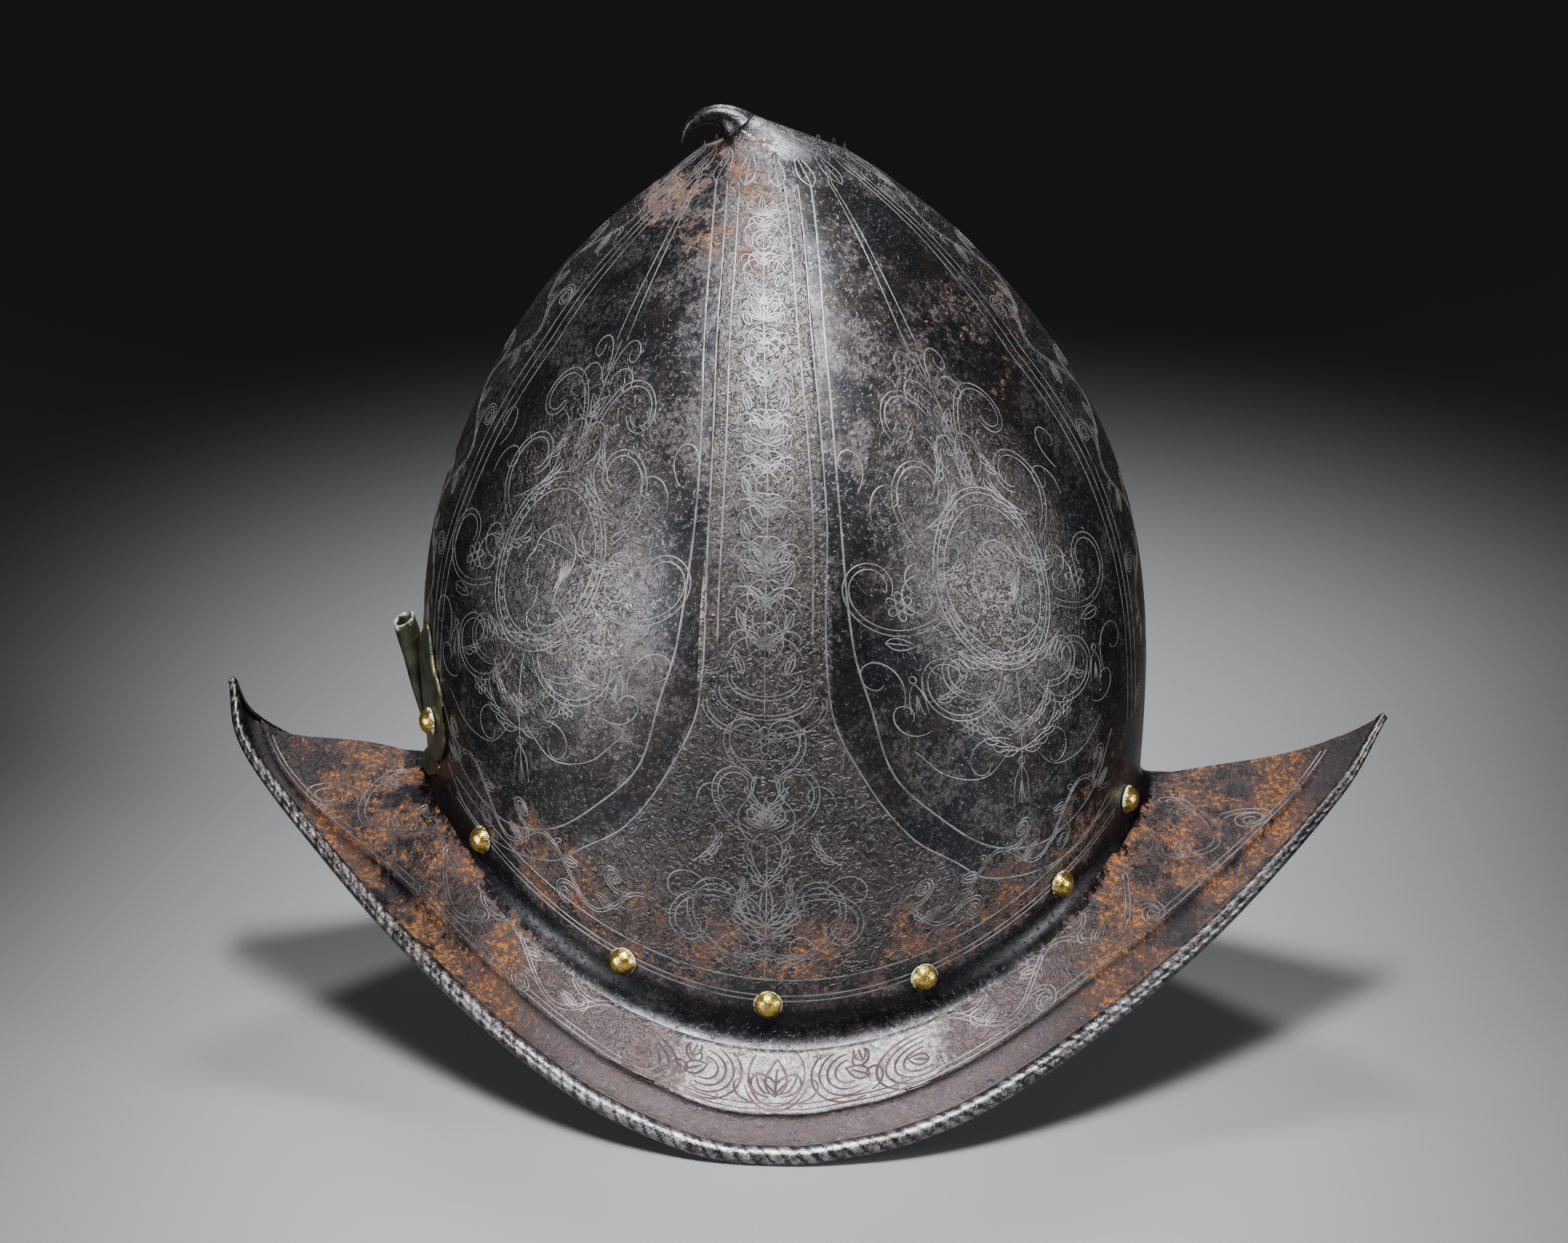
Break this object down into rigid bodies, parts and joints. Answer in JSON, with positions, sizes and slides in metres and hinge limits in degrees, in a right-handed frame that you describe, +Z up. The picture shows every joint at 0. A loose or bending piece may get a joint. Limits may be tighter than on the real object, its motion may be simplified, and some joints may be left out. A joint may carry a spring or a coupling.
{
  "type": "morion helmet",
  "caption": "Peaked steel morion: an almond-shaped skull with a hooked apex stalk, an upswept brim with a roped edge, brass-headed lining rivets and a riveted plume holder.",
  "frame": {"origin": "centre of the bounding box in X and Y, at the level of the brim's lowest edge, on which it stands", "axes": "+X towards the front peak, +Y towards the wearer's left, +Z up to the stalk"},
  "size_m": [0.352, 0.2416, 0.2826],
  "materials": {
    "steel": "dark patinated steel, pitted, with worn etching",
    "rivet_brass": "dented brass with pale green crust",
    "holder_bronze": "dark green patina, worn to gold at the edges"
  },
  "bodies": {
    "root": {"helmet_shell": "steel", "apex_stalk": "steel", "plume_holder": "holder_bronze", "holder_rivet_right": "rivet_brass", "holder_rivet_left": "rivet_brass", "lining_rivet_right_1": "rivet_brass", "lining_rivet_right_2": "rivet_brass", "lining_rivet_right_3": "rivet_brass", "lining_rivet_right_4": "rivet_brass", "lining_rivet_right_5": "rivet_brass", "lining_rivet_right_6": "rivet_brass", "lining_rivet_left_1": "rivet_brass", "lining_rivet_left_2": "rivet_brass", "lining_rivet_left_3": "rivet_brass", "lining_rivet_left_4": "rivet_brass", "lining_rivet_left_5": "rivet_brass", "lining_rivet_left_6": "rivet_brass"}
  },
  "joints": []
}
